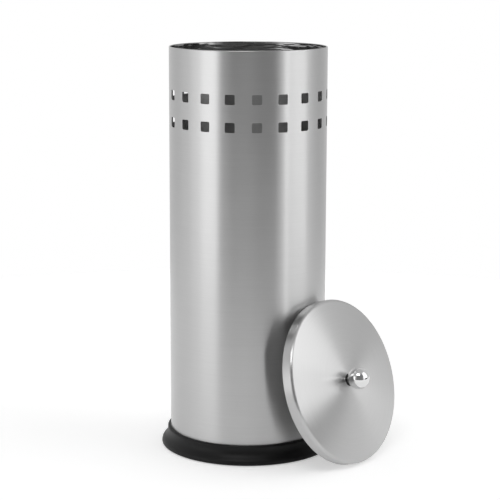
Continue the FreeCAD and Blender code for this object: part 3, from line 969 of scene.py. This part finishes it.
class CANISTER_OT_studio(bpy.types.Operator):
    """Make the floor, the soft light and the camera"""

    bl_idname = "canister.studio"
    bl_label = "Studio"
    bl_options = {"REGISTER", "UNDO"}

    def execute(self, context):
        studio = context.scene.canister_studio
        self.make_floor(studio)
        self.make_light(context, studio)
        self.make_camera(context, studio)
        context.scene.view_settings.view_transform = "Standard"
        context.scene.cycles.use_denoising = True
        return {"FINISHED"}

    def make_floor(self, studio):
        """A round pale floor, which glows a little so that it stays pale under the object."""
        bm = bmesh.new()
        bmesh.ops.create_circle(bm, cap_ends=True, radius=studio.floor_radius, segments=FLOOR_SIDES)
        material, tree, principled = new_material(
            "pale_floor", Roughness=0.9, Specular_IOR_Level=0.1, Emission_Color=(1.0, 1.0, 1.0, 1.0)
        )
        cloth = noise_of(tree, object_place(tree), 60.0, 2.0, 0.5)
        seen = add(tree, "ShaderNodeLightPath").outputs["Is Camera Ray"]
        feed(
            principled,
            Base_Color=shade(tree, cloth, (studio.floor_grey,) * 3, 0.99, 1.01),
            Emission_Strength=spread(tree, seen, studio.reflected_glow, studio.seen_glow),
        )
        floor = finish_mesh(bm, "floor", [material])

    def make_light(self, context, studio):
        """A studio all round: two tall soft lights, a dim front, grey walls and a light above the front."""
        world = bpy.data.worlds.new("studio")
        context.scene.world = world
        world.use_nodes = True
        tree = world.node_tree
        tree.nodes.clear()
        way = add(tree, "ShaderNodeSeparateXYZ", {0: add(tree, "ShaderNodeTexCoord").outputs["Generated"]})
        front = maths(tree, "MULTIPLY", way.outputs["Y"], -1.0)
        bearing = maths(tree, "ARCTAN2", way.outputs["X"], front)
        turn = maths(tree, "ADD", maths(tree, "DIVIDE", bearing, math.tau), 0.5)
        level = direction_ramp(tree, turn, [(0.5 + degrees / 360, grey) for degrees, grey in WALLS])
        height = maths(tree, "ARCSINE", way.outputs["Z"])
        for panel in PANELS:
            level = self.hang_panel(tree, level, bearing, height, panel)
        soft = add(tree, "ShaderNodeBackground", {"Color": level, "Strength": studio.light})
        plain = add(tree, "ShaderNodeBackground", {"Color": (1.0, 1.0, 1.0, 1.0), "Strength": 1.0})
        seen = add(tree, "ShaderNodeLightPath").outputs["Is Camera Ray"]
        both = add(tree, "ShaderNodeMixShader", {0: seen, 1: soft.outputs[0], 2: plain.outputs[0]})
        add(tree, "ShaderNodeOutputWorld", {"Surface": both.outputs[0]})

    def hang_panel(self, tree, level, bearing, height, panel):
        """Mixes in one panel, which fades to nothing across its edge."""
        mask = 1.0
        for way, low, high in ((bearing, panel.start, panel.end), (height, panel.low, panel.high)):
            middle, half = math.radians((low + high) / 2), (high - low) / 2
            away = maths(tree, "ABSOLUTE", maths(tree, "SUBTRACT", way, middle))
            inner, outer = math.radians(half - panel.edge / 2), math.radians(half + panel.edge / 2)
            inputs = {"Value": away, "From Min": outer, "From Max": inner}
            fade = add(tree, "ShaderNodeMapRange", inputs, interpolation_type="SMOOTHSTEP")
            mask = maths(tree, "MULTIPLY", fade.outputs["Result"], mask)
        inputs = {"Factor": mask, 6: level, 7: (panel.grey, panel.grey, panel.grey, 1.0)}
        return add(tree, "ShaderNodeMix", inputs, data_type="RGBA").outputs[2]

    def make_camera(self, context, studio):
        """The camera, looking down a little at the front."""
        data = bpy.data.cameras.new("camera")
        data.lens = studio.camera_lens
        data.sensor_width = 36.0
        data.clip_start = 0.05
        camera = bpy.data.objects.new("camera", data)
        context.scene.collection.objects.link(camera)
        camera.location = studio.camera_place
        tilt = Matrix.Rotation(math.pi / 2 - studio.camera_pitch, 4, "X")
        roll = Matrix.Rotation(studio.camera_roll, 4, "Z")
        camera.rotation_euler = (tilt @ roll).to_euler()
        context.scene.camera = camera


class CANISTER_PT_pieces(bpy.types.Panel):
    """Buttons for each piece"""

    bl_label = "Lidded Canister"
    bl_space_type = "VIEW_3D"
    bl_region_type = "UI"
    bl_category = "Canister"

    def draw(self, context):
        for group in SETTINGS:
            settings = getattr(context.scene, group)
            box = self.layout.box()
            for name in settings.bl_rna.properties.keys():
                if name not in {"rna_type", "name"}:
                    box.prop(settings, name)
        for operator in PIECES:
            self.layout.operator(operator.bl_idname)


SETTINGS = {
    "canister_tube": TubeSizes,
    "canister_lid": LidSizes,
    "canister_finishes": Finishes,
    "canister_studio": StudioSettings,
}
PIECES = (CANISTER_OT_tube, CANISTER_OT_foot, CANISTER_OT_lid, CANISTER_OT_knob, CANISTER_OT_studio)


def register():
    for name, group in SETTINGS.items():
        bpy.utils.register_class(group)
        setattr(bpy.types.Scene, name, bpy.props.PointerProperty(type=group))
    for operator in PIECES:
        bpy.utils.register_class(operator)
    bpy.utils.register_class(CANISTER_PT_pieces)


def unregister():
    bpy.utils.unregister_class(CANISTER_PT_pieces)
    for operator in reversed(PIECES):
        bpy.utils.unregister_class(operator)
    for name, group in reversed(SETTINGS.items()):
        delattr(bpy.types.Scene, name)
        bpy.utils.unregister_class(group)


def main():
    register()
    bpy.ops.canister.tube()
    bpy.ops.canister.foot()
    bpy.ops.canister.lid()
    bpy.ops.canister.knob()
    bpy.ops.canister.studio()


if __name__ == "__main__":
    main()
